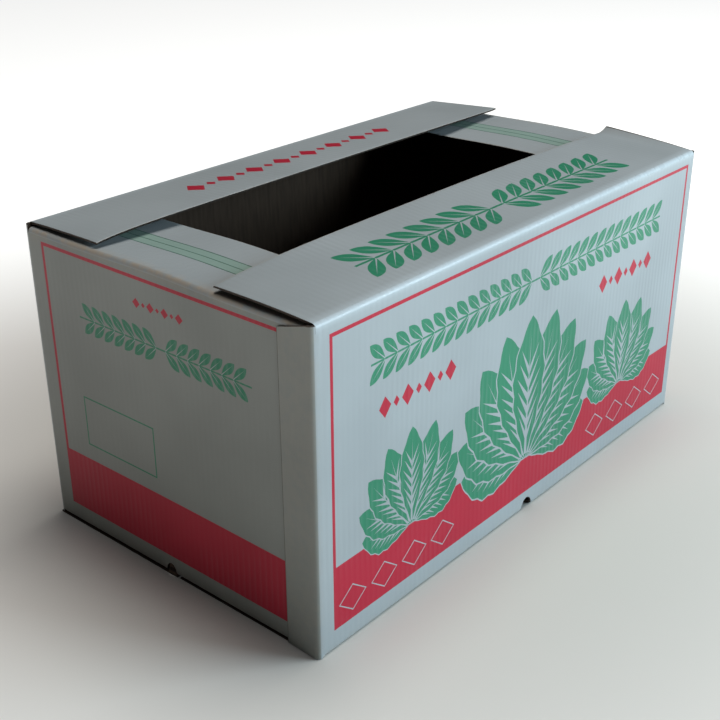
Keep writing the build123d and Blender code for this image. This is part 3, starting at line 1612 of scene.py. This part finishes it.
    def long_print(self, name: str) -> list[Shape]:
        """Print of a long wall: frame, three bunches of leaves, a garland and rows of lozenges.

        Args:
            name: The wall's name.

        Returns:
            The printed shapes.
        """
        plan = self.on_long
        middle = self.girth.middle(name)
        made = self.framed(name, Surface.LINER)
        for side in (-1, 1):
            for k in range(plan.outlined_count):
                aside = plan.outlined_first + plan.outlined_pitch * k
                at = (middle + side * aside, plan.outlined_level)
                made.append(lozenge(Surface.LINER, at, *plan.outlined_size))
                made.append(lozenge(Surface.RED, at, *plan.outlined_core))
        made += garland((middle, plan.garland_level), plan.garland_half, plan.garland_leaf, Surface.GREEN)
        for side in (-1, 1):
            at = (middle + side * plan.row_aside, plan.row_level)
            made += lozenge_row(Surface.RED, at, plan.row_count, *plan.row_size)
            aside, level = plan.side_bunch
            made += bunch((middle + side * aside, level), plan.side_bunch_height)
        foot = (middle, plan.middle_bunch_level)
        return made + bunch(foot, plan.middle_bunch_height, plan.middle_bunch_leaves)

    def end_print(self, name: str) -> list[Shape]:
        """Print of an end wall and its flap: painted shade over the wall, frame, garland, an empty ruled box
        and three stripes.

        Args:
            name: The wall's name.

        Returns:
            The printed shapes.
        """
        plan = self.on_end
        panel = self.girth.stretches[name]
        middle = self.girth.middle(name)
        # Painted shade: the end wall takes a darker copy of the bare liner.
        bare = Surface.END_SHADE
        made = [box_shape(bare, *self.girth.span(name), panel.bottom_flap, panel.top_wall)]
        made += self.framed(name, bare)
        made += lozenge_row(Surface.RED, (middle, plan.row_level), plan.row_count, *plan.row_size)
        made += garland((middle, plan.garland_level), plan.garland_half, plan.garland_leaf, Surface.GREEN)
        left, right = (middle + aside for aside in plan.ruled_sides)
        low, high = plan.ruled_levels
        rule = plan.rule
        made.append(box_shape(Surface.GREEN, left, right, low, high))
        made.append(box_shape(bare, left + rule, right - rule, low + rule, high - rule))
        edges = self.edges_of(name)
        stripes = [(Surface.TINT, *plan.stripes)]
        stripes += [(Surface.LINE, *line) for line in plan.stripe_lines]
        for surface, near, far in stripes:
            made.append(box_shape(surface, *edges, panel.on_flap(near), panel.on_flap(far)))
        # The end flap's free edge gets a painted highlight strip.
        return [*made, self.rim(name)]

    def rim(self, name: str) -> Shape:
        """Painted highlight strip along a top flap's free edge, where its rounded liner catches the light."""
        edge = self.girth.stretches[name].top_edge
        return box_shape(Surface.RIM_HIGHLIGHT, *self.edges_of(name), edge - self.rim_width, edge)

    def walls(self) -> bpy.types.Object:
        """Build the walls, corners, lap, bottom flaps and end flaps as one piece.

        Returns:
            The piece's object.
        """
        first, last = self.girth.span("lap")
        edge_shade_end = first + self.edge_shade_width
        shapes = [
            # Painted shade: the lap and the start of the near corner take the darker end tone.
            box_shape(Surface.END_SHADE, first, last + self.end_shade_reach, self.corner_foot, self.corner_top),
            # Painted shade: thin dark line along the lap's cut edge.
            box_shape(Surface.EDGE_SHADE, first, edge_shade_end, self.corner_foot, self.corner_top),
            *self.long_print("front"),
            *self.long_print("rear"),
            *self.end_print("left"),
            *self.end_print("right"),
        ]
        holes = [self.drain(name) for name in ("front", "rear", "left", "right")]
        sheet = FlatSheet(self.outline(), holes, shapes)
        mouths = []
        for name, stretch in self.girth.stretches.items():
            self._grid(sheet, name)
            if isinstance(stretch, Panel):
                sole = self.mouth_of(self.sole_edges_of(name))
                mouths.append(Mouth(stretch.bottom_edge, *sole, inward=1))
                if name not in self.long_names:
                    mouths.append(Mouth(stretch.top_edge, *self.mouth_of(self.edges_of(name))))
        for mouth in mouths:
            sheet.add_grid(np.array([mouth.first, mouth.last]), np.array([mouth.level]))
        piece = BoardPiece("waxed_carton", self.girth, self.medium, self.finishes)
        piece.add_sheet(sheet, mouths)
        made = piece.build()
        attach(made, "carton")
        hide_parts("carton")
        return made

    def _grid(self, sheet: FlatSheet, name: str) -> None:
        """Add the mesh points of one stretch to the walls' sheet.

        Args:
            sheet: The walls' sheet.
            name: The stretch's name.
        """
        stretch = self.girth.stretches[name]
        first, last = self.girth.span(name)
        rows = np.linspace(self.corner_foot, self.corner_top, self.corner_rows)
        if isinstance(stretch, Corner):
            sheet.add_grid(np.linspace(first, last, self.board.fold_steps), rows, Keep.COLUMNS)
            return
        if isinstance(stretch, Lap):
            sheet.add_grid(np.linspace(first, last, self.lap_lines), rows)
            return
        long_wall = name in self.long_names
        wall = self.columns(first + self.board.slot, last - self.board.slot)
        flap = self.columns(*self.edges_of(name))
        sole = self.columns(*self.sole_edges_of(name))
        lip = self.corner_foot - self.lip_gap if long_wall else stretch.bottom_wall
        wall_top = self.strip_level if long_wall else stretch.top_wall
        bends = np.linspace(stretch.bottom_flap, stretch.bottom_wall, self.board.fold_steps)
        sheet.add_grid(sole, np.linspace(stretch.bottom_edge, stretch.bottom_flap, self.sole_rows)[:-1])
        sheet.add_grid(sole, bends[bends <= lip], Keep.ROWS)
        sheet.add_grid(wall, bends[bends > lip], Keep.ROWS)
        sheet.add_grid(wall, np.linspace(stretch.bottom_wall, wall_top, self.wall_rows)[1:])
        if not long_wall:
            top_bends = np.linspace(stretch.top_wall, stretch.top_flap, self.board.fold_steps)
            sheet.add_grid(flap, top_bends, Keep.ROWS)
            sheet.add_grid(flap, np.linspace(stretch.top_flap, stretch.top_edge, self.end_flap_rows)[1:])
            sheet.add_grid(flap, stretch.top_edge - self.rim_width * np.array(self.rim_shares))

    def mouth_of(self, sides: Point) -> Point:
        """First and last distance of the open flutes between a flap's side edges."""
        return sides[0] + self.mouth_margin, sides[1] - self.mouth_margin

    def columns(self, left: float, right: float) -> np.ndarray:
        """Mesh lines across a stretch of the blank, closer together near both its ends.

        Args:
            left: Where the stretch begins along the blank.
            right: Where it ends.

        Returns:
            The lines' distances along the blank.
        """
        fine = self.fine_reach
        return np.concatenate(
            [
                np.linspace(left, left + fine, self.fine_lines)[:-1],
                np.linspace(left + fine, right - fine, ceil((right - left) / self.mesh_pitch)),
                np.linspace(right - fine, right, self.fine_lines)[1:],
            ]
        )

    def long_flap(self, name: str, body: str, shapes: list[Shape]) -> bpy.types.Object:
        """Build a long top flap with the strip that bends across its score.

        Args:
            name: Name of the long wall that carries the flap.
            body: Name of the imported part that the flap replaces; that part is hidden.
            shapes: Print on the flap.

        Returns:
            The flap's object.
        """
        panel = self.girth.stretches[name]
        left, right = self.edges_of(name)
        low, edge = self.strip_level, panel.top_edge
        outline = [(left, low), (right, low), (right, edge), (left, edge)]
        # The flap's free edge gets a painted highlight strip.
        sheet = FlatSheet(outline, [], [*shapes, self.rim(name)])
        columns = self.columns(left, right)
        sheet.add_grid(columns, np.linspace(low, panel.top_wall, self.strip_rows)[:-1])
        bend_steps = self.board.fold_steps + self.strip_extra_steps
        sheet.add_grid(columns, np.linspace(panel.top_wall, panel.top_flap, bend_steps), Keep.ROWS)
        sheet.add_grid(columns, np.linspace(panel.top_flap, edge, self.long_flap_rows)[1:])
        sheet.add_grid(columns, edge - self.rim_width * np.array(self.rim_shares))
        mouth = Mouth(edge, *self.mouth_of((left, right)))
        sheet.add_grid(np.array([mouth.first, mouth.last]), np.array([mouth.level]))
        piece = BoardPiece(f"{name}_top_flap", self.girth, self.medium, self.finishes)
        piece.add_sheet(sheet, [mouth])
        made = piece.build()
        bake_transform(made)
        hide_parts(body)
        return made

    def front_flap(self) -> bpy.types.Object:
        """Build the front flap with its green garland and painted shade along its turned-up right edge.

        Returns:
            The flap's object.
        """
        plan = self.on_flaps
        panel = self.girth.stretches["front"]
        at = (self.girth.middle("front"), panel.on_flap(plan.garland_out))
        right = self.edges_of("front")[1]
        shapes = garland(at, plan.garland_half, plan.garland_leaf, Surface.GREEN)
        # Painted shade: dark strip along the turned-up right edge.
        shapes.append(box_shape(Surface.EDGE_SHADE, right - plan.edge_shade_width, right, panel.top_flap, panel.top_edge))
        return self.long_flap("front", "front_flap", shapes)

    def rear_flap(self) -> bpy.types.Object:
        """Build the rear flap with its row of red lozenges.

        Returns:
            The flap's object.
        """
        plan = self.on_flaps
        panel = self.girth.stretches["rear"]
        at = (self.girth.middle("rear"), panel.on_flap(plan.row_out))
        shapes = lozenge_row(Surface.RED, at, plan.row_count, *plan.row_size)
        return self.long_flap("rear", "rear_flap", shapes)


# Floor, light and camera

@dataclass(frozen=True)
class AreaLamp:
    """A soft square lamp that looks at the carton's middle."""

    name: str
    place: Place
    size: float
    power: float
    colour: Colour
    target: Place = (0.0, 0.0, 0.14)

    def build(self) -> None:
        """Hang the lamp."""
        lamp = bpy.data.lights.new(self.name, "AREA")
        lamp.size = self.size
        lamp.energy = self.power
        lamp.color = self.colour
        hung = bpy.data.objects.new(self.name, lamp)
        hung.location = self.place
        hung.rotation_mode = "QUATERNION"
        aim = Vector(self.target) - Vector(self.place)
        hung.rotation_quaternion = aim.to_track_quat("-Z", "Y")
        bpy.context.scene.collection.objects.link(hung)


@dataclass(frozen=True)
class Studio:
    """Pale floor, soft light and the photograph's camera."""

    floor_half: float = 14.0
    floor_colour: Colour = (0.64, 0.62, 0.58)
    far_glow: float = 0.75
    glow_start: float = 0.22
    glow_reach: float = 1.05
    sky_colour: Colour = (0.95, 0.97, 1.0)
    sky_strength: float = 0.02
    key: AreaLamp = AreaLamp("key", (2.0, -2.75, 0.9), 2.0, 152.0, (0.68, 0.88, 1.0))
    top: AreaLamp = AreaLamp("top", (0.5, -0.2, 3.2), 1.6, 64.0, (1.0, 0.98, 0.95))
    camera_place: Place = (-0.8365, -0.6857, 0.6280)
    camera_turn_deg: Place = (64.3123, 0.2593, -49.3454)
    lens: float = 59.5754
    sensor: float = 36.0
    clip: Point = (0.01, 100.0)

    def build(self) -> None:
        """Set the stage."""
        self.floor()
        self.sky()
        self.key.build()
        self.top.build()
        self.camera()
        bpy.context.scene.view_settings.view_transform = "Standard"

    def floor(self) -> None:
        """Lay the floor."""
        half = self.floor_half
        mesh = bpy.data.meshes.new("floor")
        corners = [(-half, -half, 0), (half, -half, 0), (half, half, 0), (-half, half, 0)]
        mesh.from_pydata(corners, [], [(0, 1, 2, 3)])
        tree = ShaderTree("pale_floor")
        place = tree.node("ShaderNodeTexCoord", {}, {}).outputs["Object"]
        away = tree.node("ShaderNodeVectorMath", {"operation": "LENGTH"}, {0: place}).outputs["Value"]
        far = Number(tree, away).step(self.glow_start, self.glow_reach)
        tree.feed(
            tree.shader,
            {
                "Base Color": (*self.floor_colour, 1.0),
                "Roughness": 0.9,
                "Specular IOR Level": 0.0,
                "Emission Color": tree.mix(far, (0.0,) * 3, (self.far_glow,) * 3),
                "Emission Strength": 1.0,
            },
        )
        mesh.materials.append(tree.material)
        floor = bpy.data.objects.new("floor", mesh)
        bpy.context.scene.collection.objects.link(floor)

    def sky(self) -> None:
        """Light the scene evenly from all round."""
        world = bpy.data.worlds.new("studio")
        world.use_nodes = True
        sky = next(n for n in world.node_tree.nodes if n.type == "BACKGROUND")
        sky.inputs["Color"].default_value = (*self.sky_colour, 1.0)
        sky.inputs["Strength"].default_value = self.sky_strength
        bpy.context.scene.world = world

    def camera(self) -> None:
        """Set up the camera."""
        data = bpy.data.cameras.new("camera")
        data.lens = self.lens
        data.sensor_width = self.sensor
        data.clip_start, data.clip_end = self.clip
        camera = bpy.data.objects.new("camera", data)
        camera.location = self.camera_place
        camera.rotation_euler = [radians(a) for a in self.camera_turn_deg]
        bpy.context.scene.collection.objects.link(camera)
        bpy.context.scene.camera = camera


def board_finishes(board: Board) -> Finishes:
    """Make the material of every kind of face.

    Args:
        board: The board that they dress.

    Returns:
        The materials by what a face shows.
    """
    pitch = board.pitch
    inks = {
        Surface.LINER: WaxedLiner("waxed_liner", (0.36, 0.39, 0.40), pitch),
        Surface.RED: WaxedLiner("red_ink", (0.45, 0.016, 0.040), pitch, streak=0.04),
        Surface.GREEN: WaxedLiner("green_ink", (0.030, 0.22, 0.12), pitch, streak=0.14),
        Surface.TINT: WaxedLiner("pale_green_ink", (0.27, 0.38, 0.33), pitch, streak=0.14),
        Surface.LINE: WaxedLiner("stripe_line_ink", (0.07, 0.15, 0.115), pitch, streak=0.1),
        # Painted highlight: pale strip along the top flaps' free edges.
        Surface.RIM_HIGHLIGHT: WaxedLiner("painted_rim_highlight", (0.46, 0.45, 0.42), pitch),
        # Painted shade: darker copy of the bare liner for the end walls and the lap.
        Surface.END_SHADE: WaxedLiner("painted_end_shade", (0.278, 0.290, 0.270), pitch),
        # Painted shade: thin dark strips along the lap's cut edge and the front flap's right edge.
        Surface.EDGE_SHADE: WaxedLiner("painted_edge_shade", (0.10, 0.095, 0.085), pitch),
        Surface.KRAFT: KraftLiner("kraft_liner", (0.070, 0.046, 0.031), pitch),
        Surface.RAW: RawEdge("raw_edge", (0.055, 0.036, 0.024), pitch),
    }
    return {surface: finish.material() for surface, finish in inks.items()}


def main() -> None:
    """Build the carton, its flaps and the studio."""
    logging.basicConfig(level=logging.INFO, format="%(name)s %(message)s")
    board = Board()
    carton = Carton(board, board_finishes(board))
    carton.walls()
    carton.front_flap()
    carton.rear_flap()
    Studio().build()


if __name__ == "__main__":
    main()
